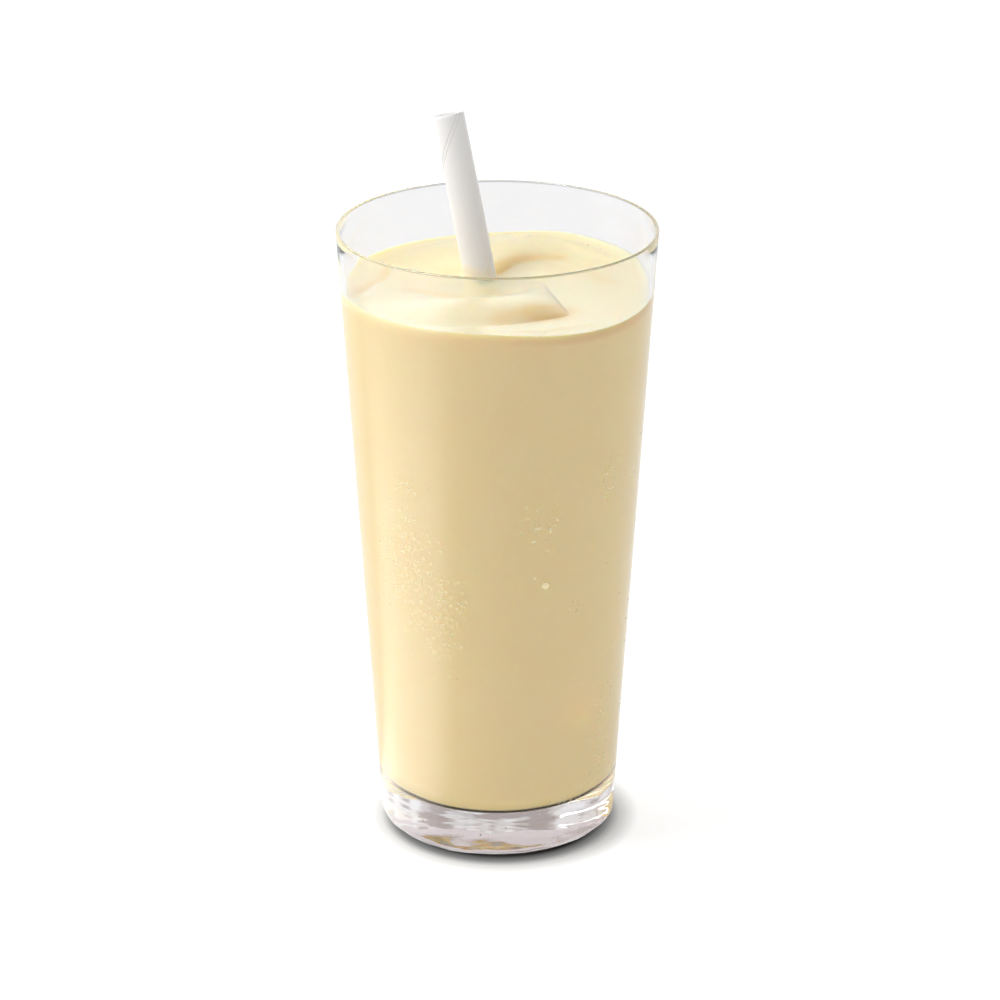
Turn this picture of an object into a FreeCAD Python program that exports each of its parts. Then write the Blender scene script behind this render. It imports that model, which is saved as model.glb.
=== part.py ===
"""Vanilla milkshake in its tumbler, with a paper straw: three solids in one frame, in millimetres.

The tumbler stands on the table at z = 0 with its centre line on +Z, and -Y points at the person
it is served to.  Azimuths are degrees counter-clockwise from +X, seen from above.
"""
import FreeCAD, Part
import math
import os

from FreeCAD import Vector

# ---- tumbler: a straight-sided cone of thin glass on a thick clear base --------------------------
GLASS_HEIGHT = 158.4
RIM_DIAMETER = 80.0            # outside, at the very top
FOOT_DIAMETER = 60.0           # outside, where the line of the side would meet the table
RIM_WALL = 0.9                 # wall just under the rim
LOWER_WALL = 1.9               # wall beside the inner floor
BASE_THICKNESS = 11.0          # solid glass under the drink
HEEL_RADIUS = 2.6              # rounding between the side and the foot ring
FLOOR_CORNER_RADIUS = 7.0      # rounding between the inner floor and the wall
FOOT_RING_WIDTH = 2.4          # flat ring that meets the table
PUSH_UP = 1.2                  # height of the shallow dome inside the foot ring

# ---- drink: its thick surface is left in one folded swirl ----------------------------------------
FILL_BELOW_RIM = 15.0          # mean level under the rim
RIGHT_TWIST = 0.0027           # the right side runs up to the back and down to the front, per mm2
HOLLOW_DEPTH = 1.3             # dip that the straw stands in
BACK_FOLD_HEIGHT = 1.9         # fold along the back, beside the straw
LEFT_SEAM_DEPTH = 0.6          # narrow valley where the back fold meets the left wall
RIBBON_HEIGHT = 2.6            # ribbon that lies across the front
RIBBON_NOSE = 10.0             # length over which the ribbon rolls down to its end
SURFACE_STEP = 1.25            # spacing of the points that carry the surface

# ---- straw: a straight paper tube that leans back and to the left --------------------------------
STRAW_DIAMETER = 8.0
STRAW_WALL = 0.45
STRAW_LENGTH = 157.0
STRAW_TILT = 15.9              # from upright
STRAW_LEAN_AZIMUTH = 134.9     # the way its top leans
STRAW_FOOT_AZIMUTH = -46.3     # where its lower end comes to the glass
STRAW_FOOT_HEIGHT = 33.0       # height of its lower end over the table
STRAW_SEAT_GAP = 0.3           # between its lower end and the glass

# ---- worked out from the sizes above -------------------------------------------------------------
RIM_RADIUS = RIM_DIAMETER / 2
FOOT_RADIUS = FOOT_DIAMETER / 2
FILL_LEVEL = GLASS_HEIGHT - FILL_BELOW_RIM
RIM_ROUNDING = RIM_WALL / 2
SWIRL_SCALE = RIM_RADIUS / 40.0    # the swirl's plan sizes below are for a rim radius of 40


def outer_radius(z):
    """Outside radius of the tumbler's straight side at height z."""
    return FOOT_RADIUS + (RIM_RADIUS - FOOT_RADIUS) * z / GLASS_HEIGHT


def inner_radius(z):
    """Inside radius at height z, with the wall thinning evenly from the floor to the rim."""
    share = (z - BASE_THICKNESS) / (GLASS_HEIGHT - BASE_THICKNESS)
    return outer_radius(z) - LOWER_WALL + (LOWER_WALL - RIM_WALL) * share


def rounded_corner(before, corner, after, radius):
    """Tangent arc of a given radius at a corner of a profile."""
    to_before = (before - corner).normalize()
    to_after = (after - corner).normalize()
    half = to_before.getAngle(to_after) / 2
    reach = radius / math.tan(half)
    middle = (to_before + to_after).normalize() * (radius / math.sin(half) - radius)
    return Part.Arc(corner + to_before * reach, corner + middle, corner + to_after * reach)


def revolved(curves, last, first):
    """Solid turned about Z from a chain of curves that starts and ends on the axis."""
    edges = []
    here = first
    for curve in curves:
        if here.distanceToPoint(curve.StartPoint) > 1e-7:
            edges.append(Part.makeLine(here, curve.StartPoint))
        edges.append(curve.toShape())
        here = curve.EndPoint
    edges.append(Part.makeLine(here, last))
    edges.append(Part.makeLine(last, first))
    face = Part.Face(Part.Wire(edges))
    return face.revolve(Vector(0, 0, 0), Vector(0, 0, 1), 360)


def floor_corner():
    """Rounding between the flat inner floor and the wall, shared by the glass and the drink."""
    corner = Vector(inner_radius(BASE_THICKNESS), 0, BASE_THICKNESS)
    up_the_wall = Vector(inner_radius(GLASS_HEIGHT), 0, GLASS_HEIGHT)
    return rounded_corner(Vector(0, 0, BASE_THICKNESS), corner, up_the_wall, FLOOR_CORNER_RADIUS)


def make_glass():
    """Tumbler: foot ring with a push-up, straight side, rounded rim and a flat inner floor."""
    heel = rounded_corner(Vector(0, 0, 0), Vector(FOOT_RADIUS, 0, 0),
                          Vector(RIM_RADIUS, 0, GLASS_HEIGHT), HEEL_RADIUS)
    ring_inside = heel.StartPoint.x - FOOT_RING_WIDTH
    dome_radius = (ring_inside ** 2 + PUSH_UP ** 2) / (2 * PUSH_UP)
    half_way = ring_inside / 2
    half_height = PUSH_UP - dome_radius + math.sqrt(dome_radius ** 2 - half_way ** 2)
    dome = Part.Arc(Vector(0, 0, PUSH_UP), Vector(half_way, 0, half_height),
                    Vector(ring_inside, 0, 0))
    shoulder = GLASS_HEIGHT - RIM_ROUNDING
    rim = Part.Arc(Vector(outer_radius(shoulder), 0, shoulder),
                   Vector(outer_radius(shoulder) - RIM_ROUNDING, 0, GLASS_HEIGHT),
                   Vector(inner_radius(shoulder), 0, shoulder))
    corner = floor_corner()
    down_to_floor = Part.Arc(corner.EndPoint, corner.value(
        (corner.FirstParameter + corner.LastParameter) / 2), corner.StartPoint)
    return revolved([dome, heel, rim, down_to_floor],
                    Vector(0, 0, BASE_THICKNESS), Vector(0, 0, PUSH_UP))


def smooth(share):
    """0 below 0, 1 above 1, and an even S between them."""
    share = min(1.0, max(0.0, share))
    return share * share * (3 - 2 * share)


def hump(offset, inner_width, outer_width, sharpness):
    """Rounded section of a fold: 1 on its crest, 0 past its inner or outer foot."""
    share = abs(offset) / (outer_width if offset > 0 else inner_width)
    return 0.0 if share >= 1 else (1 - share * share) ** sharpness


def back_fold(radius, azimuth):
    """Fold that rises at the back right, curls round the straw and fades along the left."""
    start, end = 42.0, 185.0
    crest = 25.5 + 8.0 * smooth((85.0 - azimuth) / 40.0) + 4.0 * smooth((azimuth - 120.0) / 60.0)
    foot = 9.5 + 18.0 * smooth((92.0 - azimuth) / 50.0) + 10.0 * smooth((azimuth - 110.0) / 60.0)
    rise = smooth((azimuth - start) / 45.0) * smooth((end - azimuth) / 90.0)
    return rise * hump(radius - crest, crest - foot, 16.0, 1.2)


def left_seam(radius, azimuth):
    """Valley that runs from the back left out to the left wall."""
    line = 28.0 + 0.26 * (azimuth - 164.0)
    along = smooth((azimuth - 145.0) / 20.0) * smooth((205.0 - azimuth) / 15.0)
    return along * math.exp(-((radius - line) / 2.8) ** 2)


def front_ribbon(x, y, radius, azimuth):
    """Ribbon that grows out of the left side, crosses the front and rolls down to a blunt end."""
    start, end = 175.0, 350.0
    along = smooth((azimuth - start) / 100.0)
    crest = 29.0 - 11.3 * along
    outer_width = 14.0 - 5.0 * smooth((azimuth - 250.0) / 50.0)
    sharpness = 1.6 - 0.8 * smooth((azimuth - 255.0) / 40.0)
    to_end = -0.954 * (x - 12.5) - 0.298 * (y + 4.0)     # distance short of the end's edge
    roll = min(1.0, max(0.0, to_end / RIBBON_NOSE))
    nose = math.sqrt(1 - (1 - roll) ** 2)
    rise = smooth((azimuth - start) / 80.0) * smooth((end - azimuth) / 15.0)
    return rise * nose * hump(radius - crest, 8.7, outer_width, sharpness)


def surface_height(x, y):
    """Height of the drink's surface over the table at a place in plan."""
    x, y = x / SWIRL_SCALE, y / SWIRL_SCALE
    radius = math.hypot(x, y)
    azimuth = math.degrees(math.atan2(y, x)) % 360
    twist = RIGHT_TWIST * y * (x + math.hypot(x, 6.0)) / 2
    hollow = math.exp(-((x + 1.0) / 12.0) ** 2 - ((y - 3.5) / 8.0) ** 2)
    return (FILL_LEVEL + twist - HOLLOW_DEPTH * hollow
            + BACK_FOLD_HEIGHT * back_fold(radius, azimuth)
            - LEFT_SEAM_DEPTH * left_seam(radius, azimuth)
            + RIBBON_HEIGHT * front_ribbon(x, y, radius, azimuth))


def space_over_surface():
    """Block with the drink's surface as its underside, to cut the drink off with."""
    steps = math.ceil(RIM_DIAMETER / SURFACE_STEP)
    places = [RIM_RADIUS * (2 * i / steps - 1) for i in range(steps + 1)]
    grid = [[Vector(x, y, surface_height(x, y)) for y in places] for x in places]
    surface = Part.BSplineSurface()
    surface.interpolate(grid)
    return surface.toShape().extrude(Vector(0, 0, GLASS_HEIGHT))


def make_straw():
    """Paper tube and the block it takes out of the drink, its lower end close to the wall."""
    tilt = math.radians(STRAW_TILT)
    lean = math.radians(STRAW_LEAN_AZIMUTH)
    foot = math.radians(STRAW_FOOT_AZIMUTH)
    axis = Vector(math.sin(tilt) * math.cos(lean), math.sin(tilt) * math.sin(lean), math.cos(tilt))
    edge_height = STRAW_FOOT_HEIGHT + STRAW_DIAMETER / 2 * math.sin(tilt)
    foot_radius = inner_radius(edge_height) - STRAW_SEAT_GAP - STRAW_DIAMETER / 2 * math.cos(tilt)
    base = Vector(foot_radius * math.cos(foot), foot_radius * math.sin(foot), STRAW_FOOT_HEIGHT)
    outside = Part.makeCylinder(STRAW_DIAMETER / 2, STRAW_LENGTH, base, axis)
    bore = Part.makeCylinder(STRAW_DIAMETER / 2 - STRAW_WALL, STRAW_LENGTH, base, axis)
    return outside.cut(bore)


def make_milkshake(straw):
    """Drink that fills the tumbler and the straw up to the swirled surface."""
    corner = floor_corner()
    top = GLASS_HEIGHT - RIM_ROUNDING
    wall = Part.LineSegment(corner.EndPoint, Vector(inner_radius(top), 0, top))
    inside = revolved([corner, wall], Vector(0, 0, top), Vector(0, 0, BASE_THICKNESS))
    return inside.cut(space_over_surface()).cut(straw)


def main():
    os.makedirs("parts", exist_ok=True)
    straw = make_straw()
    nodes = {"glass": make_glass(), "straw": straw, "milkshake": make_milkshake(straw)}
    for name, shape in nodes.items():
        if len(shape.Solids) != 1 or not shape.isValid():
            raise ValueError(f"{name} isn't one sound solid")
        solid = shape.Solids[0]
        box = solid.BoundBox
        print(f"{name}: {solid.Volume / 1000:.1f} cm3, z {box.ZMin:.2f} to {box.ZMax:.2f}")
        solid.exportStep(f"parts/{name}.step")


main()
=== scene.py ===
"""Looks of the vanilla milkshake: glass, drink, straw, droplets, light and camera, in metres.

The drink stands at the origin with +Z up, and the camera looks along +Y.  Azimuths are degrees
counter-clockwise from +X, seen from above.
"""
import math
import random

import bpy
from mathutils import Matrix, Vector, noise


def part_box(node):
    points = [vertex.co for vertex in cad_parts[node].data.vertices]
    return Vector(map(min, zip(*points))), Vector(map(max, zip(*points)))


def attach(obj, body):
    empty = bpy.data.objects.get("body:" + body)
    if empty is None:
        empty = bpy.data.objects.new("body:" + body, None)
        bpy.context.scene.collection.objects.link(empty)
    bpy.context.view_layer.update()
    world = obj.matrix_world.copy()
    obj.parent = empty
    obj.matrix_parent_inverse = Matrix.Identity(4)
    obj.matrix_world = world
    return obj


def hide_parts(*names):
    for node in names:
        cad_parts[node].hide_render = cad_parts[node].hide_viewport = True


MM = 0.001

# ---- tumbler -------------------------------------------------------------------------------------
FOOT_RADIUS = 30.0 * MM            # where the line of the side would meet the table
RIM_RADIUS = 40.0 * MM
RIM_WALL = 0.9 * MM
LOWER_WALL = 1.9 * MM
BASE_THICKNESS = 11.0 * MM
HEEL_RADIUS = 2.6 * MM
FLOOR_CORNER_RADIUS = 7.0 * MM
FOOT_RING_WIDTH = 2.4 * MM
PUSH_UP = 1.2 * MM
MOULD_WAVE = 0.30 * MM             # how far the pressed base wanders from its true shape
MOULD_PITCH = 9.0 * MM
MOULD_SEED = 3
MOULD_FADE = (6.0 * MM, 14.0 * MM)  # heights between which the base's waves die down
WALL_WAVE_SHARE = 0.08             # of them that is left in the wall
TRUE_RIM = 2.0 * MM                # what the waves leave alone below the rim
UNDERSIDE = (1.3 * MM, 26.0 * MM)  # height and radius of the calmer face inside the foot ring
UNDERSIDE_WAVE_SHARE = 0.6
TUMBLER_SEGMENTS = 256
CURVE_STEPS = 16                   # of the rim's half round, and of the push-up
SIDE_STEPS = 40                    # rows along the wall, of the glass and of the drink
# Air bubbles in the base, in millimetres: centre, and radius
SEEDS = (((-18, -20, 6.5), 0.30), ((-4, -23, 4.5), 0.28), ((2, -24.5, 7.0), 0.22),
         ((13, -20, 5.0), 0.2), ((-9, 14, 5.0), 0.25), ((20, 9, 6.0), 0.22))
SEED_SEGMENTS, SEED_ROWS = 16, 8
CLEAR_GLASS = (0.95, 0.952, 0.972, 1)
RIM_GLASS = (0.44, 0.46, 0.46, 1)  # seen edge on, glass is darker
BASE_GLASS = (0.88, 0.85, 0.86, 1)

# ---- drink ---------------------------------------------------------------------------------------
FILL_BELOW_RIM = 15.0              # millimetres, as all of surface_height()
RIGHT_TWIST = 0.0027
HOLLOW_DEPTH = 1.3
BACK_FOLD_HEIGHT = 1.9
LEFT_SEAM_DEPTH = 0.6
RIBBON_HEIGHT = 2.6
RIBBON_NOSE = 10.0
WALL_CREEP = 0.55 * MM             # how far the drink clings up the glass
WALL_CREEP_WIDTH = 2.4 * MM
STRAW_CREEP = 0.5 * MM             # and up the straw
STRAW_CREEP_WIDTH = 0.9 * MM
INTO_WALL = 0.25 * MM              # how far it reaches into the glass, so that no air gap shows
# Lines on the surface, in millimetres in plan: points, half width, and strength or height
# The first table is painted shade: deeper yellow in the creases and at the feet of the folds.
PAINTED_SHADE_STREAKS = (
    (((0.2, 12.0), (2.2, 15.5), (5.7, 18.2), (10.8, 19.3), (15.5, 19.4)), 2.4, 0.9),
    (((0.0, 10.5), (1.6, 13.6)), 1.6, 0.7),
    (((17.0, -17.2), (14.3, -20.4), (9.4, -22.8)), 2.8, 1.0),
    (((14.3, -20.4), (4.5, -24.8), (0.7, -27.0)), 2.8, 0.75),
    (((-21.6, -3.8), (-16.6, -6.1), (-9.7, -9.2)), 1.8, 0.55),
    (((-2.3, -5.3), (1.9, -6.9), (6.6, -9.0)), 1.6, 0.5),
    (((15.6, 1.2), (21.8, 2.5), (29.0, 1.8)), 1.5, 0.4),
    (((-26.3, 7.1), (-30.4, 3.9), (-33.0, -1.3), (-33.8, -5.0)), 1.4, 0.7),
    (((-35.2, -8.6), (-32.4, -10.4)), 1.2, 0.5),
    (((-11.4, 10.8), (-14.3, 6.9)), 2.2, 0.35),
)
FINE_RIDGES = (
    (((18.5, 27.0), (21.5, 23.6), (24.6, 19.6)), 1.5, 0.16),
    (((24.0, 23.4), (27.4, 17.5)), 1.3, 0.12),
    (((-7.0, -32.0), (0.6, -33.4), (10.3, -31.0), (22.5, -24.8)), 1.8, 0.16),
    (((-33.0, 2.0), (-29.0, 6.6), (-22.0, 10.0)), 1.6, 0.16),
)
RIPPLE = 0.045                     # height of the faint rings that the swirl left
RIPPLE_PITCH = 2.2
CORE_RINGS = 6                     # of the drink inside the straw
FLOOR_RINGS = 16
# The two colours that the drink is mottled in, against the glass and at the top; the top's
# are paler, painted light for the top that the lamps light more than the side
SIDE_COLOURS = ((0.915, 0.695, 0.305, 1), (0.945, 0.735, 0.355, 1))
PAINTED_LIGHT_TOP_COLOURS = ((0.935, 0.775, 0.42, 1), (0.96, 0.815, 0.48, 1))
# Painted shade: the deeper yellow of the streaks that lie in shade.
PAINTED_SHADE_COLOUR = (0.90, 0.64, 0.22, 1)
DRINK_SEGMENTS = 384
SURFACE_RINGS = 130

# ---- straw ---------------------------------------------------------------------------------------
STRAW_RADIUS = 4.0 * MM
STRAW_WALL = 0.45 * MM
SEAM_PITCH = 39.0 * MM
SEAM_DEPTH = 0.12 * MM
SEAM_LINES = (0.0, 0.96)           # where its edges run, as shares of a turn
SEAM_HALF_WIDTH = 0.0045           # as a share of a turn, as the lap's
LAP_WIDTH = 0.08
LAP_SHARE = 0.4                    # height of the lapped edge, as a share of the seam's depth
SEAM_START = 1.54                  # radians at the lower end
STRAW_ROWS = 158
FILM_HEIGHT = 7.0                  # millimetres of the straw that cream clings to, above the drink
PAPER, SEAM_PAPER = (0.75, 0.74, 0.735, 1), (0.66, 0.645, 0.635, 1)
CREAMED_PAPER = (0.80, 0.71, 0.48, 1)

# ---- droplets and bubbles ------------------------------------------------------------------------
# Middle azimuth and height of each cluster, its spread in both, how many droplets, and their radii
DROPLET_CLUSTERS = (
    (228, 79, 15, 20, 420, 0.07, 0.24), (247, 67, 10, 14, 300, 0.07, 0.26),
    (232, 80, 22, 32, 260, 0.06, 0.18), (230, 100, 6, 5, 18, 0.20, 0.38),
    (286, 92, 11, 7, 110, 0.06, 0.22), (289, 92, 6, 3, 6, 0.30, 0.42),
    (305, 68, 4, 3, 14, 0.08, 0.26), (319, 101, 5, 6, 60, 0.08, 0.26),
    (324, 28, 9, 14, 220, 0.07, 0.24), (303, 13, 16, 2.5, 120, 0.08, 0.20),
    (20, 70, 40, 40, 380, 0.07, 0.28), (90, 60, 40, 35, 320, 0.07, 0.26),
    (150, 85, 35, 30, 300, 0.07, 0.26),
)
LONE_DROPLETS = ((289.9, 76.2, 0.95), (285.5, 78.6, 0.26), (228.0, 82.5, 0.42),
                 (236.5, 70.0, 0.36))
LOWEST_DROPLET = 10.5
BUBBLES = ((23.0, 26.1, 0.42), (21.5, 27.2, 0.30), (26.2, 23.4, 0.25), (-29.0, -17.0, 0.3))
STRAY_BUBBLES = 46
DOME_RISE = 0.55                   # height of a droplet or bubble, as a share of its radius
DOME_SINK = 0.03 * MM              # how far its foot reaches into what it stands on

# ---- studio --------------------------------------------------------------------------------------
# Kind of ray, the stretch of Y it goes over, and the world's strength at the front and at the back
WORLD_LIGHT = (("Is Diffuse Ray", -0.6, 0.8, 0.10, 0.5),
               ("Is Glossy Ray", 0.2, 0.95, 0.5, 1.8),
               ("Is Transmission Ray", -0.6, 0.8, 0.95, 0.85))
STUDIO_SHADE = (0.50, 0.44, 0.43, 1)   # of the dark patches that the base shows
# Name, azimuth, elevation, width, height and level of each lamp
LAMPS = (("side_left", 175, 25, 0.7, 0.7, 0.10),
         ("upper_left", 195, 63, 0.45, 0.45, 0.47),
         ("back_left", 140, 46, 1.4, 0.9, 0.43))
LAMP_DISTANCE = 1.6
LAMP_TARGET = Vector((0, 0, 0.08))
PAINTED_SHADOW_CENTRE = (0.8 * MM, -3.6 * MM, 0)   # of the painted shadow round the foot
PAINTED_CARD_DIRECTION = (-0.966, -0.259, 0)      # painted reflection: glass and gloss see a white card that is not on the table
CAMERA_PLACE = (0.00064, -0.925, 0.4535)
CAMERA_PITCH = -21.67
CAMERA_LENS = 141.4
TABLE_HALF = 4.0
TABLE_DROP = 0.05 * MM             # how far the table lies below the foot
BOUNCES = 24                       # light runs round inside the rim and the base

noise.seed_set(MOULD_SEED)         # noise_vector() would otherwise differ from run to run
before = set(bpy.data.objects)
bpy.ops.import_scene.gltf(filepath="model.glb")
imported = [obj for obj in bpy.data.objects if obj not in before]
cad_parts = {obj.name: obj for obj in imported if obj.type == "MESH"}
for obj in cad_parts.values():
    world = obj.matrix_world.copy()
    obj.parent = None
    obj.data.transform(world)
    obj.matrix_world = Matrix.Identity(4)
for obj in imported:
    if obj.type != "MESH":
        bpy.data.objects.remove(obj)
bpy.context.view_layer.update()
GLASS_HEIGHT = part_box("glass")[1].z
FILL_LEVEL = GLASS_HEIGHT / MM - FILL_BELOW_RIM


# ---- shapes --------------------------------------------------------------------------------------
def smooth(share):
    """0 below 0, 1 above 1, and an even S between them."""
    share = min(1.0, max(0.0, share))
    return share * share * (3 - 2 * share)


def outer_radius(z):
    """Radius of the outside of the glass at a height."""
    return FOOT_RADIUS + (RIM_RADIUS - FOOT_RADIUS) * z / GLASS_HEIGHT


def inner_radius(z):
    """Radius of the inside of the glass at a height."""
    share = (z - BASE_THICKNESS) / (GLASS_HEIGHT - BASE_THICKNESS)
    return outer_radius(z) - LOWER_WALL + (LOWER_WALL - RIM_WALL) * share


def straight(start, end, count):
    """Points from start to end, without the end."""
    return [start.lerp(end, i / count) for i in range(count)]


def rounded(before, corner, after, radius, count=12):
    """Points of the tangent arc of a given radius at a corner of a profile."""
    to_before = (before - corner).normalized()
    to_after = (after - corner).normalized()
    half = to_before.angle(to_after) / 2
    centre = corner + (to_before + to_after).normalized() * radius / math.sin(half)
    first = corner + to_before * radius / math.tan(half) - centre
    last = corner + to_after * radius / math.tan(half) - centre
    whole = first.angle(last)
    return [centre + (first * math.sin(whole * (1 - i / count))
                      + last * math.sin(whole * i / count)) / math.sin(whole)
            for i in range(count + 1)]


def floor_corner():
    """Profile of the rounded corner between the inside of the wall and the floor, from the top."""
    corner = rounded(Vector((0, 0, BASE_THICKNESS)),
                     Vector((inner_radius(BASE_THICKNESS), 0, BASE_THICKNESS)),
                     Vector((inner_radius(GLASS_HEIGHT), 0, GLASS_HEIGHT)), FLOOR_CORNER_RADIUS)
    return corner[::-1]


def mesh_object(name, vertices, faces, *materials):
    """Smooth shaded object in the scene, with its materials in slots."""
    mesh = bpy.data.meshes.new(name)
    mesh.from_pydata(vertices, [], faces)
    mesh.validate()
    mesh.polygons.foreach_set("use_smooth", [True] * len(mesh.polygons))
    for material in materials:
        mesh.materials.append(material)
    piece = bpy.data.objects.new(name, mesh)
    bpy.context.scene.collection.objects.link(piece)
    return piece


def bridge(rings, closed_start, closed_end):
    """Vertices and faces that join rings of equal count, with a centre point at a closed end."""
    count = len(rings[0])
    vertices = [point for ring in rings for point in ring]
    faces = []
    for k in range(len(rings) - 1):
        low, high = k * count, (k + 1) * count
        faces += [(low + i, low + (i + 1) % count, high + (i + 1) % count, high + i)
                  for i in range(count)]
    for closed, ring, start in ((closed_start, rings[0], 0),
                                (closed_end, rings[-1], (len(rings) - 1) * count)):
        if closed:
            centre = len(vertices)
            vertices.append(sum(ring, Vector()) / count)
            faces += [(centre, start + (i + 1) % count, start + i) if start == 0 else
                      (start + i, start + (i + 1) % count, centre) for i in range(count)]
    return vertices, faces


def ring_at(radius, z, count):
    """Level ring round the tumbler's centre line."""
    turns = [math.tau * i / count for i in range(count)]
    return [Vector((radius * math.cos(turn), radius * math.sin(turn), z)) for turn in turns]


# ---- the drink's surface, in millimetres ---------------------------------------------------------
def hump(offset, inner_width, outer_width, sharpness):
    """1 at no offset, and down to 0 at the inner width on one side and the outer on the other."""
    share = abs(offset) / (outer_width if offset > 0 else inner_width)
    return 0.0 if share >= 1 else (1 - share * share) ** sharpness


def back_fold(radius, azimuth):
    """Fold that rises at the back right, curls round the straw and fades along the left."""
    start, end = 42.0, 185.0
    crest = 25.5 + 8.0 * smooth((85.0 - azimuth) / 40.0) + 4.0 * smooth((azimuth - 120.0) / 60.0)
    foot = 9.5 + 18.0 * smooth((92.0 - azimuth) / 50.0) + 10.0 * smooth((azimuth - 110.0) / 60.0)
    rise = smooth((azimuth - start) / 45.0) * smooth((end - azimuth) / 90.0)
    return rise * hump(radius - crest, crest - foot, 16.0, 1.2)


def left_seam(radius, azimuth):
    """Valley that runs from the back left out to the left wall."""
    line = 28.0 + 0.26 * (azimuth - 164.0)
    along = smooth((azimuth - 145.0) / 20.0) * smooth((205.0 - azimuth) / 15.0)
    return along * math.exp(-((radius - line) / 2.8) ** 2)


def front_ribbon(x, y, radius, azimuth):
    """Ribbon that grows out of the left side, crosses the front and rolls down to a blunt end."""
    start, end = 175.0, 350.0
    along = smooth((azimuth - start) / 100.0)
    crest = 29.0 - 11.3 * along
    outer_width = 14.0 - 5.0 * smooth((azimuth - 250.0) / 50.0)
    sharpness = 1.6 - 0.8 * smooth((azimuth - 255.0) / 40.0)
    to_end = -0.954 * (x - 12.5) - 0.298 * (y + 4.0)
    roll = min(1.0, max(0.0, to_end / RIBBON_NOSE))
    nose = math.sqrt(1 - (1 - roll) ** 2)
    rise = smooth((azimuth - start) / 80.0) * smooth((end - azimuth) / 15.0)
    return rise * nose * hump(radius - crest, 8.7, outer_width, sharpness)


def surface_height(x, y):
    """Height of the drink's surface over the table at a place in plan."""
    radius = math.hypot(x, y)
    azimuth = math.degrees(math.atan2(y, x)) % 360
    twist = RIGHT_TWIST * y * (x + math.hypot(x, 6.0)) / 2
    hollow = math.exp(-((x + 1.0) / 12.0) ** 2 - ((y - 3.5) / 8.0) ** 2)
    return (FILL_LEVEL + twist - HOLLOW_DEPTH * hollow
            + BACK_FOLD_HEIGHT * back_fold(radius, azimuth)
            - LEFT_SEAM_DEPTH * left_seam(radius, azimuth)
            + RIBBON_HEIGHT * front_ribbon(x, y, radius, azimuth))


def on_lines(x, y, lines):
    """Sum of soft bands that follow lines, each as wide and strong as it says."""
    total = 0.0
    place = Vector((x, y))
    for points, half_width, strength in lines:
        nearest = 1e9
        for start, end in zip(points, points[1:]):
            start, end = Vector(start), Vector(end)
            share = (place - start).dot(end - start) / (end - start).length_squared
            nearest = min(nearest, (place - start.lerp(end, min(1.0, max(0.0, share)))).length)
        if nearest < 2.5 * half_width:
            total += strength * math.exp(-(nearest / half_width) ** 2)
    return total


def surface_point(x, y):
    """Point of the surface with its fine relief, in metres."""
    radius, azimuth = math.hypot(x, y) / MM, math.atan2(y, x)
    ripple = noise.noise(Vector((radius / RIPPLE_PITCH, 1.6 * math.cos(azimuth),
                                 1.6 * math.sin(azimuth))))
    height = (surface_height(x / MM, y / MM) + on_lines(x / MM, y / MM, FINE_RIDGES)
              + RIPPLE * ripple * smooth(radius / 12.0))
    return Vector((x, y, height * MM))


# ---- straw's line --------------------------------------------------------------------------------
def straw_line():
    """Centres of the straw's lower and upper end, from the box of the CAD straw."""
    low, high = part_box("straw")
    base, top = Vector((high.x, low.y, low.z)), Vector((low.x, high.y, high.z))
    for _ in range(8):
        axis = (top - base).normalized()
        inset = Vector([STRAW_RADIUS * math.sqrt(1 - part * part) for part in axis])
        base = Vector((high.x - inset.x, low.y + inset.y, low.z + inset.z))
        top = Vector((low.x + inset.x, high.y - inset.y, high.z - inset.z))
    return base, top


STRAW_BASE, STRAW_TOP = straw_line()
STRAW_AXIS = (STRAW_TOP - STRAW_BASE).normalized()
STRAW_SIDE = Vector((0, 0, 1)).cross(STRAW_AXIS).normalized()
STRAW_FRONT = STRAW_AXIS.cross(STRAW_SIDE)


def straw_ring(centre, radius, count, turn=0.0):
    """Ring square to the straw's axis."""
    return [centre + radius * (math.cos(turn + math.tau * i / count) * STRAW_SIDE
                               + math.sin(turn + math.tau * i / count) * STRAW_FRONT)
            for i in range(count)]


def up_to_surface(point, rise=0.0):
    """The point moved along the straw's axis until it lies on the drink's surface."""
    for _ in range(20):
        target = surface_height(point.x / MM, point.y / MM) * MM + rise
        point = point + STRAW_AXIS * (target - point.z) / STRAW_AXIS.z
    return point


# ---- glass ---------------------------------------------------------------------------------------
def moulded(point):
    """The point moved a little, as pressed glass is never quite true; the foot and rim stay."""
    fade_start, fade_end = MOULD_FADE
    low = smooth(point.z / (0.4 * MM)) * smooth((fade_end - point.z) / (fade_end - fade_start))
    size = MOULD_WAVE * (low + WALL_WAVE_SHARE * smooth(point.z / fade_end))
    if point.z > GLASS_HEIGHT - TRUE_RIM:
        size = 0.0
    if point.z < UNDERSIDE[0] and point.xy.length < UNDERSIDE[1]:
        size *= UNDERSIDE_WAVE_SHARE
    place = Vector((point.x, point.y, 2.5 * point.z)) / MOULD_PITCH
    wave = noise.noise_vector(place) + 0.35 * noise.noise_vector(2.6 * place)
    return point + Vector((wave.x, wave.y, wave.z * low)) * size


def add_seed(vertices, faces, centre, radius):
    """A round bubble of air inside the glass: a closed hole, so its faces look inwards."""
    first, around, tall = len(vertices), SEED_SEGMENTS, SEED_ROWS
    for k in range(1, tall):
        tilt = math.pi * k / tall
        vertices += [centre + radius * Vector((math.sin(tilt) * math.cos(math.tau * i / around),
                                               math.sin(tilt) * math.sin(math.tau * i / around),
                                               math.cos(tilt))) for i in range(around)]
    vertices += [centre + Vector((0, 0, radius)), centre - Vector((0, 0, radius))]
    above, below = len(vertices) - 2, len(vertices) - 1
    for i in range(around):
        after = (i + 1) % around
        faces.append((above, first + after, first + i))
        last = first + (tall - 2) * around
        faces.append((below, last + i, last + after))
        for k in range(tall - 2):
            row = first + k * around
            faces.append((row + i, row + after, row + around + after, row + around + i))


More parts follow.
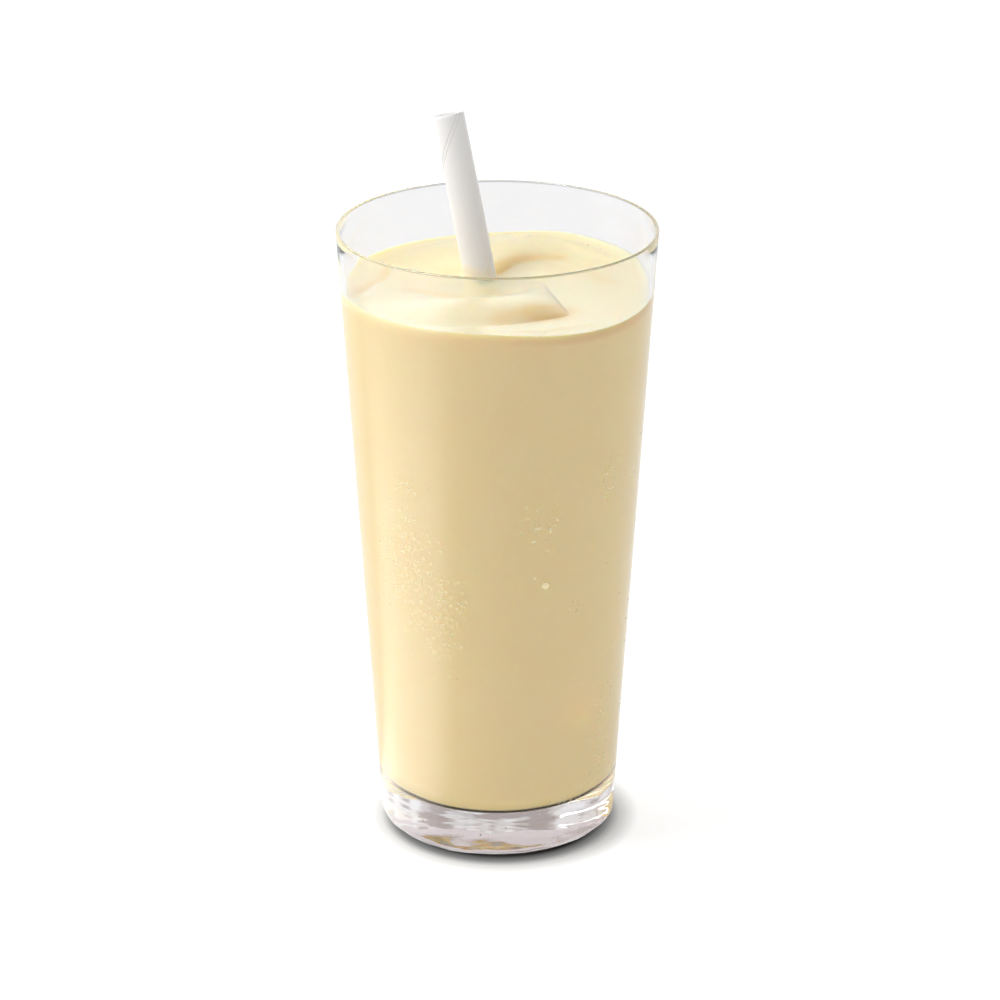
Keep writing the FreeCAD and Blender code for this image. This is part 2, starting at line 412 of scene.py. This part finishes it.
def make_tumbler(material, rim_material, base_material):
    """Lathe of the whole tumbler, from the dome under the foot round to the inner floor."""
    heel = rounded(Vector((0, 0, 0)), Vector((FOOT_RADIUS, 0, 0)),
                   Vector((RIM_RADIUS, 0, GLASS_HEIGHT)), HEEL_RADIUS)
    ring_inside = heel[0].x - FOOT_RING_WIDTH
    shares = [i / CURVE_STEPS for i in range(CURVE_STEPS + 1)]
    push_up = [Vector((ring_inside * share, 0, PUSH_UP * (1 - share ** 2))) for share in shares[1:]]
    rounding = RIM_WALL / 2
    shoulder = GLASS_HEIGHT - rounding
    middle = (outer_radius(shoulder) + inner_radius(shoulder)) / 2
    rim = [Vector((middle + rounding * math.cos(math.pi * share), 0,
                   shoulder + rounding * math.sin(math.pi * share))) for share in shares]
    corner = floor_corner()
    floor = [Vector((corner[-1].x * (1 - i / 8), 0, BASE_THICKNESS)) for i in range(1, 8)]
    below_rim = push_up + heel + straight(heel[-1], rim[0], SIDE_STEPS)[1:]
    profile = below_rim + rim + straight(rim[-1], corner[0], SIDE_STEPS)[1:] + corner + floor
    rings = [[moulded(p) for p in ring_at(point.x, point.z, TUMBLER_SEGMENTS)]
             for point in profile]
    vertices, faces = bridge(rings, True, True)
    for place, radius in SEEDS:
        add_seed(vertices, faces, Vector(place) * MM, radius * MM)
    tumbler = mesh_object("tumbler", vertices, faces, material, rim_material, base_material)
    base_end = (len(push_up) + len(heel) + 1) * TUMBLER_SEGMENTS
    rim_start = len(below_rim) * TUMBLER_SEGMENTS
    rim_end = rim_start + (len(rim) - 1) * TUMBLER_SEGMENTS
    tumbler.data.polygons.foreach_set("material_index", [
        1 if rim_start <= i < rim_end else 2 if i < base_end else 0 for i in range(len(faces))])
    return tumbler


# ---- drink ---------------------------------------------------------------------------------------
def wall_ring(contact, share, low):
    """The contact line moved down the wall, by a share of its way to a height."""
    ring = []
    for point in contact:
        z = point.z + (low - point.z) * share
        radius = inner_radius(z) + INTO_WALL
        angle = math.atan2(point.y, point.x)
        ring.append(Vector((radius * math.cos(angle), radius * math.sin(angle), z)))
    return ring


def turned(point, angles):
    """Ring of copies of a profile's point, one at each angle."""
    return [Vector((point.x * math.cos(a), point.x * math.sin(a), point.z)) for a in angles]


def surface_ring(straw_edge, start, share):
    """Ring of the surface, at a share of the way from the straw to the glass."""
    wall = inner_radius(FILL_LEVEL * MM + 0.5 * MM)
    reach = wall + INTO_WALL
    ring = []
    for i, near in enumerate(straw_edge):
        angle = start + math.tau * i / len(straw_edge)
        far = Vector((reach * math.cos(angle), reach * math.sin(angle), 0))
        place = near.lerp(far, share)
        point = surface_point(place.x, place.y)
        from_straw = (place.xy - near.xy).length
        to_wall = max(0.0, wall - place.xy.length)
        point.z += STRAW_CREEP * math.exp(-from_straw / STRAW_CREEP_WIDTH * 2)
        point.z += WALL_CREEP * math.exp(-to_wall / WALL_CREEP_WIDTH * 2)
        ring.append(point)
    return ring


def make_drink(top_material, side_material, on_glass_material):
    """Drink from the core inside the straw, over the surface and down the wall to the floor."""
    count = DRINK_SEGMENTS
    bore = STRAW_RADIUS - STRAW_WALL
    start = math.atan2(STRAW_SIDE.y, STRAW_SIDE.x)
    bore_edge = [up_to_surface(p) for p in straw_ring(STRAW_BASE, bore, count)]
    core = up_to_surface(STRAW_BASE.copy())
    rings = [[surface_point(*core.lerp(p, k / CORE_RINGS).xy) for p in bore_edge]
             for k in range(1, CORE_RINGS)] + [bore_edge]
    straw_foot = STRAW_BASE + STRAW_AXIS * 0.2 * MM
    rings += [straw_ring(straw_foot, radius, count) for radius in (bore, STRAW_RADIUS)]
    straw_edge = [up_to_surface(p, STRAW_CREEP)
                  for p in straw_ring(STRAW_BASE, STRAW_RADIUS, count)]
    for k in range(SURFACE_RINGS + 1):
        even = k / SURFACE_RINGS
        share = 0.5 * even + 0.25 * (1 - math.cos(math.pi * even))   # closer at both ends
        rings.append(surface_ring(straw_edge, start, share))
    surface_rings = len(rings)
    contact = rings[-1]
    angles = [math.atan2(point.y, point.x) for point in contact]
    corner = floor_corner()
    low = corner[0].z
    rings += [wall_ring(contact, k / SIDE_STEPS, low) for k in range(1, SIDE_STEPS + 1)]
    wall_rings = len(rings) - 1
    corner_centre = Vector((corner[0].x - FLOOR_CORNER_RADIUS, 0, low))
    for point in corner[1:]:
        rings.append(turned(point + (point - corner_centre).normalized() * INTO_WALL, angles))
    edge = rings[-1][0].xy.length
    for k in range(1, FLOOR_RINGS):
        inwards = Vector((edge * (1 - k / FLOOR_RINGS), 0, BASE_THICKNESS - INTO_WALL))
        rings.append(turned(inwards, angles))
    rings[wall_rings:] = [[moulded(p) for p in ring] for ring in rings[wall_rings:]]
    vertices, faces = bridge(rings, True, True)
    drink = mesh_object("milkshake_drink", vertices, [tuple(reversed(f)) for f in faces],
                        top_material, side_material, on_glass_material)
    slots = []
    for k in range(len(rings) - 1):
        slots += [0 if k < surface_rings - 1 else 1 if k < wall_rings else 2] * count
    slots += [0] * count + [2] * count
    drink.data.polygons.foreach_set("material_index", slots)
    # Painted shade along the streaks, kept as a point attribute of the surface.
    painted_shade = [min(1.0, on_lines(point.x / MM, point.y / MM, PAINTED_SHADE_STREAKS))
                for point in vertices[:surface_rings * count]]
    painted_shade += [0.0] * (len(vertices) - len(painted_shade))
    drink.data.attributes.new("painted_shade", "FLOAT", "POINT").data.foreach_set("value", painted_shade)
    return drink


# ---- straw ---------------------------------------------------------------------------------------
def paper_columns():
    """Shares of a turn at which the straw has a column, closest at the two lines of the seam."""
    near = [0.0, 0.004, 0.008, 0.012]
    fine = sorted({round(line + side * step, 4) % 1.0 for line in SEAM_LINES for side in (-1, 1)
                   for step in near})
    coarse = [i / 60 for i in range(60) if all(min(abs(i / 60 - f), 1 - abs(i / 60 - f)) > 0.008
                                               for f in fine)]
    return sorted(fine + coarse)


def seam_depth(share):
    """How deep the paper's face lies at a share of a turn: a fine groove with a lapped edge."""
    depth = 0.0
    for line in SEAM_LINES:
        away = (share - line + 0.5) % 1.0 - 0.5
        depth += SEAM_DEPTH * math.exp(-(away / SEAM_HALF_WIDTH) ** 2)
        if 0 < away < LAP_WIDTH:
            depth += LAP_SHARE * SEAM_DEPTH * (1 - away / LAP_WIDTH)
    return depth


def cream_film(point):
    """How much cream clings to the straw: full at the drink, gone a few millimetres above it."""
    above = (point.z - surface_height(point.x / MM, point.y / MM) * MM) / MM
    reach = FILM_HEIGHT * (1.0 + 0.5 * noise.noise(point / (2.5 * MM)))
    return 1.0 - smooth((above - 0.3 * reach) / (0.7 * reach))


def make_straw(material, seam_material):
    """Paper tube whose columns follow the spiral seam."""
    length = (STRAW_TOP - STRAW_BASE).length
    columns = paper_columns()
    outside, inside = [], []
    for k in range(STRAW_ROWS + 1):
        along = length * k / STRAW_ROWS
        centre = STRAW_BASE + STRAW_AXIS * along
        turns = [math.tau * (share + along / SEAM_PITCH) + SEAM_START for share in columns]
        outward = [math.cos(turn) * STRAW_SIDE + math.sin(turn) * STRAW_FRONT for turn in turns]
        outside.append([centre + (STRAW_RADIUS - seam_depth(share)) * out
                        for share, out in zip(columns, outward)])
        inside.append([centre + (STRAW_RADIUS - STRAW_WALL) * out for out in outward])
    vertices, faces = bridge(outside + inside[::-1] + [outside[0]], False, False)
    straw = mesh_object("paper_straw", vertices, faces, material, seam_material)
    in_seam = [min(abs((share - line + 0.5) % 1.0 - 0.5) for line in SEAM_LINES) < SEAM_HALF_WIDTH
               for share in columns]
    count = len(columns)
    slots = [int(k < STRAW_ROWS and in_seam[i] and in_seam[(i + 1) % count])
             for k in range(len(faces) // count) for i in range(count)]
    straw.data.polygons.foreach_set("material_index", slots)
    film = straw.data.attributes.new("film", "FLOAT", "POINT")
    film.data.foreach_set("value", [cream_film(v.co) for v in straw.data.vertices])
    weld = straw.modifiers.new("weld", "WELD")
    weld.merge_threshold = 1e-6
    return straw


# ---- droplets and bubbles ------------------------------------------------------------------------
def dome(vertices, faces, foot, out, radius, segments, rings):
    """Adds a low closed dome that stands on a surface, at foot, with its top towards out."""
    along = out.cross(Vector((0, 0, 1)) if abs(out.z) < 0.8 else Vector((1, 0, 0))).normalized()
    up = out.cross(along)
    foot = foot - out * DOME_SINK
    first = len(vertices)
    for k in range(rings):
        lift = math.pi / 2 * k / rings
        reach, rise = radius * math.cos(lift), radius * DOME_RISE * math.sin(lift)
        vertices += [foot + reach * (along * math.cos(math.tau * i / segments)
                                     + up * math.sin(math.tau * i / segments)) + out * rise
                     for i in range(segments)]
    vertices.append(foot + out * radius * DOME_RISE)
    faces.append(tuple(first + i for i in reversed(range(segments))))
    for k in range(rings):
        for i in range(segments):
            low, after = first + k * segments + i, first + k * segments + (i + 1) % segments
            faces.append((low, after, after + segments, low + segments) if k < rings - 1
                         else (low, after, len(vertices) - 1))


def wall_place(azimuth, height):
    """Place on the outside of the glass, and the way out of it."""
    turn = math.radians(azimuth)
    wall = outer_radius(height * MM)
    slope = (RIM_RADIUS - FOOT_RADIUS) / GLASS_HEIGHT
    return (Vector((wall * math.cos(turn), wall * math.sin(turn), height * MM)),
            Vector((math.cos(turn), math.sin(turn), -slope)).normalized())


def make_droplets(material):
    """All the droplets, in one mesh."""
    random.seed(7)
    vertices, faces = [], []
    for azimuth, height, turn_spread, rise_spread, count, small, large in DROPLET_CLUSTERS:
        for _ in range(count):
            radius = small + (large - small) * random.random() ** 3
            foot, out = wall_place(random.gauss(azimuth, turn_spread / 2),
                                   max(LOWEST_DROPLET, random.gauss(height, rise_spread / 2)))
            dome(vertices, faces, foot, out, radius * MM, 8, 3)
    for azimuth, height, radius in LONE_DROPLETS:
        dome(vertices, faces, *wall_place(azimuth, height), radius * MM, 32, 10)
    return mesh_object("droplets", vertices, faces, material)


def make_bubbles(material):
    """A few fine bubbles on the surface, near the glass."""
    random.seed(11)
    places = list(BUBBLES)
    for _ in range(STRAY_BUBBLES):
        turn, reach = random.uniform(0, math.tau), random.uniform(33.5, 37.0)
        places.append((reach * math.cos(turn), reach * math.sin(turn), random.uniform(0.10, 0.24)))
    vertices, faces = [], []
    for x, y, radius in places:
        dome(vertices, faces, surface_point(x * MM, y * MM), Vector((0, 0, 1)), radius * MM, 16, 6)
    return mesh_object("surface_bubbles", vertices, faces, material)


# ---- materials -----------------------------------------------------------------------------------
def new_material(name):
    """Material with nodes, its nodes, and its links."""
    material = bpy.data.materials.new(name)
    material.use_nodes = True
    return material, material.node_tree.nodes, material.node_tree.links


def math_node(nodes, links, operation, *values):
    """Output of a Math node whose inputs are outputs or numbers."""
    node = nodes.new("ShaderNodeMath")
    node.operation = operation
    for socket, value in zip(node.inputs, values):
        if isinstance(value, bpy.types.NodeSocket):
            links.new(value, socket)
        else:
            socket.default_value = value
    return node.outputs[0]


def ramp_node(nodes, links, value, start, end, low, high, interpolation="LINEAR"):
    """Output that goes from low to high as the value goes from start to end."""
    ramp = nodes.new("ShaderNodeMapRange")
    ramp.interpolation_type = interpolation
    ramp.inputs["From Min"].default_value = start
    ramp.inputs["From Max"].default_value = end
    ramp.inputs["To Min"].default_value = low
    ramp.inputs["To Max"].default_value = high
    links.new(value, ramp.inputs["Value"])
    return ramp.outputs["Result"]


def milkshake_material(name, colours, coat_roughness, coat_ior, light_depth):
    """Thick cream: light sinks in and comes back warmer; painted shade deepens it along streaks."""
    material, nodes, links = new_material(name)
    shader = nodes["Principled BSDF"]
    shader.inputs["Roughness"].default_value = 0.5
    shader.inputs["IOR"].default_value = 1.4
    shader.inputs["Subsurface Weight"].default_value = 1.0
    shader.inputs["Subsurface Radius"].default_value = (1.0, 0.72, 0.36)
    shader.inputs["Subsurface Scale"].default_value = light_depth
    shader.inputs["Coat Weight"].default_value = 1.0
    shader.inputs["Coat Roughness"].default_value = coat_roughness
    shader.inputs["Coat IOR"].default_value = coat_ior
    place = nodes.new("ShaderNodeTexCoord")
    clouds = nodes.new("ShaderNodeTexNoise")
    clouds.inputs["Scale"].default_value = 90.0
    clouds.inputs["Detail"].default_value = 6.0
    mottled = nodes.new("ShaderNodeMix")
    mottled.data_type = "RGBA"
    mottled.inputs["A"].default_value, mottled.inputs["B"].default_value = colours
    painted_shade_attribute = nodes.new("ShaderNodeAttribute")
    painted_shade_attribute.attribute_name = "painted_shade"
    colour = nodes.new("ShaderNodeMix")
    colour.data_type = "RGBA"
    colour.inputs["B"].default_value = PAINTED_SHADE_COLOUR
    links.new(place.outputs["Object"], clouds.inputs["Vector"])
    links.new(clouds.outputs["Fac"], mottled.inputs["Factor"])
    links.new(painted_shade_attribute.outputs["Fac"], colour.inputs["Factor"])
    links.new(mottled.outputs["Result"], colour.inputs["A"])
    links.new(colour.outputs["Result"], shader.inputs["Base Color"])
    return material


def milkshake_on_glass_material(name):
    """The drink where it lies on the thick base: the glass mirrors it at a shallow angle."""
    material = milkshake_material(name, SIDE_COLOURS, 0.5, 1.5, 1.0 * MM)
    nodes, links = material.node_tree.nodes, material.node_tree.links
    mirror = nodes.new("ShaderNodeBsdfGlossy")
    mirror.inputs["Color"].default_value = (0.74, 0.69, 0.71, 1)
    mirror.inputs["Roughness"].default_value = 0.02
    slant = nodes.new("ShaderNodeLayerWeight")
    slant.inputs["Blend"].default_value = 0.5
    past = ramp_node(nodes, links, slant.outputs["Facing"], 0.50, 0.62, 0.0, 1.0)
    mix = nodes.new("ShaderNodeMixShader")
    links.new(past, mix.inputs["Fac"])
    links.new(nodes["Principled BSDF"].outputs[0], mix.inputs[1])
    links.new(mirror.outputs[0], mix.inputs[2])
    links.new(mix.outputs[0], nodes["Material Output"].inputs["Surface"])
    return material


def glass_material(name, tint):
    """Clear glass that lets lamps and soft light through without caustics."""
    material, nodes, links = new_material(name)
    shader = nodes["Principled BSDF"]
    shader.inputs["Base Color"].default_value = tint
    shader.inputs["Roughness"].default_value = 0.0
    shader.inputs["IOR"].default_value = 1.5
    shader.inputs["Transmission Weight"].default_value = 1.0
    shader.inputs["Specular IOR Level"].default_value = 0.25
    path = nodes.new("ShaderNodeLightPath")
    clear = nodes.new("ShaderNodeBsdfTransparent")
    clear.inputs["Color"].default_value = (0.95, 0.95, 0.95, 1)
    mix = nodes.new("ShaderNodeMixShader")
    links.new(math_node(nodes, links, "MAXIMUM", path.outputs["Is Shadow Ray"],
                        path.outputs["Is Diffuse Ray"]), mix.inputs["Fac"])
    links.new(shader.outputs[0], mix.inputs[1])
    links.new(clear.outputs[0], mix.inputs[2])
    links.new(mix.outputs[0], nodes["Material Output"].inputs["Surface"])
    return material


def bubble_material():
    """Thin film of cream over air."""
    material, nodes, _ = new_material("cream_film")
    shader = nodes["Principled BSDF"]
    shader.inputs["Base Color"].default_value = (0.97, 0.84, 0.54, 1)
    shader.inputs["Roughness"].default_value = 0.15
    shader.inputs["Coat Weight"].default_value = 1.0
    shader.inputs["Coat Roughness"].default_value = 0.05
    shader.inputs["Alpha"].default_value = 0.7
    return material


def droplet_material():
    """Water so fine that it shows as pale, glossy specks; their weak glow is painted light."""
    material, nodes, _ = new_material("fine_water")
    shader = nodes["Principled BSDF"]
    shader.inputs["Base Color"].default_value = (1.0, 0.90, 0.62, 1)
    shader.inputs["Roughness"].default_value = 0.15
    # Painted light: the specks glow a little, to look pale.
    shader.inputs["Emission Color"].default_value = (1.0, 0.92, 0.66, 1)
    shader.inputs["Emission Strength"].default_value = 0.14
    shader.inputs["Alpha"].default_value = 0.4
    return material


def paper_material(name, colour):
    """White paper with a faint grain of fibres; a weak glow is painted light for what comes
    through.
    """
    material, nodes, links = new_material(name)
    shader = nodes["Principled BSDF"]
    shader.inputs["Roughness"].default_value = 0.6
    # Painted light: the paper glows a little, which lifts its shaded side.
    shader.inputs["Emission Color"].default_value = colour
    shader.inputs["Emission Strength"].default_value = 0.30
    place = nodes.new("ShaderNodeTexCoord")
    fibres = nodes.new("ShaderNodeTexNoise")
    fibres.inputs["Scale"].default_value = 900.0
    fibres.inputs["Detail"].default_value = 4.0
    grain = nodes.new("ShaderNodeBump")
    grain.inputs["Strength"].default_value = 0.25
    grain.inputs["Distance"].default_value = 0.05 * MM
    links.new(place.outputs["Object"], fibres.inputs["Vector"])
    links.new(fibres.outputs["Fac"], grain.inputs["Height"])
    links.new(grain.outputs["Normal"], shader.inputs["Normal"])
    film = nodes.new("ShaderNodeAttribute")
    film.attribute_name = "film"
    wet = nodes.new("ShaderNodeMix")
    wet.data_type = "RGBA"
    wet.inputs["A"].default_value = colour
    wet.inputs["B"].default_value = CREAMED_PAPER
    links.new(film.outputs["Fac"], wet.inputs["Factor"])
    links.new(wet.outputs["Result"], shader.inputs["Base Color"])
    return material


def floor_material():
    """Table that glows white, with a painted shadow round the foot, most at the front right.

    Glass and gloss see it brighter on the left, a painted reflection as if a white card lay there,
    and rays that come through glass see it a little darker, so that the clear walls show.
    """
    material, nodes, links = new_material("pale_table")
    shader = nodes["Principled BSDF"]
    shader.inputs["Roughness"].default_value = 0.9
    shader.inputs["Specular IOR Level"].default_value = 0.1
    shader.inputs["Emission Color"].default_value = (1, 1, 1, 1)
    place = nodes.new("ShaderNodeNewGeometry").outputs["Position"]
    path = nodes.new("ShaderNodeLightPath")
    away = nodes.new("ShaderNodeVectorMath")
    away.operation = "DISTANCE"
    away.inputs[1].default_value = PAINTED_SHADOW_CENTRE
    links.new(place, away.inputs[0])
    direction = nodes.new("ShaderNodeVectorMath")
    direction.operation = "NORMALIZE"
    links.new(place, direction.inputs[0])
    to_card = nodes.new("ShaderNodeVectorMath")
    to_card.operation = "DOT_PRODUCT"
    to_card.inputs[1].default_value = PAINTED_CARD_DIRECTION
    links.new(direction.outputs["Vector"], to_card.inputs[0])
    distance = away.outputs["Value"]
    # Painted shadow: close round the foot the table is darker and glows less.
    shade = ramp_node(nodes, links, distance, 28.5 * MM, 31.0 * MM, 0.03, 0.4)
    glow = ramp_node(nodes, links, distance, 25.5 * MM, 36.0 * MM, 0.0, 0.82)
    # Painted reflection: glossy rays see a brighter patch to the left, like a white card.
    card = ramp_node(nodes, links, to_card.outputs["Value"], 0.72, 0.97, 0.0, 2.3, "SMOOTHSTEP")
    card_end = ramp_node(nodes, links, distance, 200 * MM, 450 * MM, 1.0, 0.0)
    choose = nodes.new("ShaderNodeMix")
    links.new(path.outputs["Is Glossy Ray"], choose.inputs["Factor"])
    links.new(ramp_node(nodes, links, path.outputs["Is Transmission Ray"], 0.0, 1.0, 1.0, 0.80),
              choose.inputs["A"])
    links.new(math_node(nodes, links, "MULTIPLY_ADD", card, card_end, 0.7), choose.inputs["B"])
    strength = math_node(nodes, links, "MULTIPLY", glow, choose.outputs["Result"])
    links.new(shade, shader.inputs["Base Color"])
    links.new(strength, shader.inputs["Emission Strength"])
    return material


# ---- stage ---------------------------------------------------------------------------------------
def softbox(name, azimuth, elevation, width, height, level):
    """Area light aimed at the drink; level is the white it gives a surface that faces it."""
    turn, tilt = math.radians(azimuth), math.radians(elevation)
    away = Vector((math.cos(tilt) * math.cos(turn), math.cos(tilt) * math.sin(turn),
                   math.sin(tilt)))
    data = bpy.data.lights.new(name, "AREA")
    data.shape = "RECTANGLE"
    data.size = width
    data.size_y = height
    data.energy = level * (math.pi * LAMP_DISTANCE) ** 2
    lamp = bpy.data.objects.new(name, data)
    lamp.location = away * LAMP_DISTANCE + LAMP_TARGET
    lamp.rotation_euler = away.to_track_quat("Z", "Y").to_euler()
    bpy.context.scene.collection.objects.link(lamp)


def make_world():
    """White where the camera looks, brighter at the back for the rays that light the drink.

    Rays that leave glass upwards see darker patches, which the thick base breaks into streaks.
    """
    world = bpy.data.worlds.new("studio")
    bpy.context.scene.world = world
    world.use_nodes = True
    nodes, links = world.node_tree.nodes, world.node_tree.links
    background = nodes["Background"]
    direction = nodes.new("ShaderNodeTexCoord").outputs["Generated"]
    split = nodes.new("ShaderNodeSeparateXYZ")
    links.new(direction, split.inputs[0])
    path = nodes.new("ShaderNodeLightPath")
    strength = None
    for ray, start, end, front, back in WORLD_LIGHT:
        choose = nodes.new("ShaderNodeMix")
        choose.inputs["A"].default_value = 1.0
        if strength:
            links.new(strength, choose.inputs["A"])
        links.new(path.outputs[ray], choose.inputs["Factor"])
        backwards = ramp_node(nodes, links, split.outputs["Y"], start, end, front, back,
                              "SMOOTHSTEP")
        links.new(backwards, choose.inputs["B"])
        strength = choose.outputs["Result"]
    links.new(strength, background.inputs["Strength"])
    patches = nodes.new("ShaderNodeTexNoise")
    patches.inputs["Scale"].default_value = 4.0
    links.new(direction, patches.inputs["Vector"])
    dark = ramp_node(nodes, links, patches.outputs["Fac"], 0.46, 0.58, 0.0, 1.0)
    upwards = ramp_node(nodes, links, split.outputs["Z"], 0.1, 0.25, 0.0, 1.0)
    seen = math_node(nodes, links, "MULTIPLY", path.outputs["Is Transmission Ray"], upwards)
    tint = nodes.new("ShaderNodeMix")
    tint.data_type = "RGBA"
    tint.inputs["A"].default_value = (1, 1, 1, 1)
    tint.inputs["B"].default_value = STUDIO_SHADE
    links.new(math_node(nodes, links, "MULTIPLY", dark, seen), tint.inputs["Factor"])
    links.new(tint.outputs["Result"], background.inputs["Color"])


def make_camera():
    """Camera in front of the drink, a little above its rim, looking down at it."""
    data = bpy.data.cameras.new("camera")
    data.lens = CAMERA_LENS
    camera = bpy.data.objects.new("camera", data)
    camera.location = CAMERA_PLACE
    camera.rotation_euler = (math.radians(90 + CAMERA_PITCH), 0, 0)
    bpy.context.scene.collection.objects.link(camera)
    bpy.context.scene.camera = camera


def make_floor():
    """Square table, which stays out of the object."""
    corners = [Vector((x, y, -TABLE_DROP)) for x, y in (
        (-TABLE_HALF, -TABLE_HALF), (TABLE_HALF, -TABLE_HALF),
        (TABLE_HALF, TABLE_HALF), (-TABLE_HALF, TABLE_HALF))]
    floor = mesh_object("table", corners, [(0, 1, 2, 3)], floor_material())


def main():
    """Builds the pieces, ties them to the CAD's body and nodes, and sets the stage."""
    tumbler = make_tumbler(glass_material("clear_glass", CLEAR_GLASS),
                           glass_material("glass_rim", RIM_GLASS),
                           glass_material("glass_base", BASE_GLASS))
    drink = make_drink(
        milkshake_material("milkshake_top", PAINTED_LIGHT_TOP_COLOURS, 0.25, 1.5, 5.5 * MM),
        milkshake_material("milkshake_side", SIDE_COLOURS, 0.5, 1.45, 3.0 * MM),
        milkshake_on_glass_material("milkshake_on_glass"))
    straw = make_straw(paper_material("straw_paper", PAPER),
                       paper_material("straw_seam", SEAM_PAPER))
    for piece, node, slot in ((tumbler, "glass", "glass"), (drink, "milkshake", "milkshake"),
                              (straw, "straw", "straw")):
        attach(piece, "root")
        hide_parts(node)
    for piece in (make_droplets(droplet_material()), make_bubbles(bubble_material())):
        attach(piece, "root")
    make_floor()
    make_world()
    for lamp in LAMPS:
        softbox(*lamp)
    make_camera()
    scene = bpy.context.scene
    scene.view_settings.view_transform = "Standard"
    scene.cycles.glossy_bounces = BOUNCES
    scene.cycles.transmission_bounces = BOUNCES
    scene.cycles.max_bounces = BOUNCES


main()
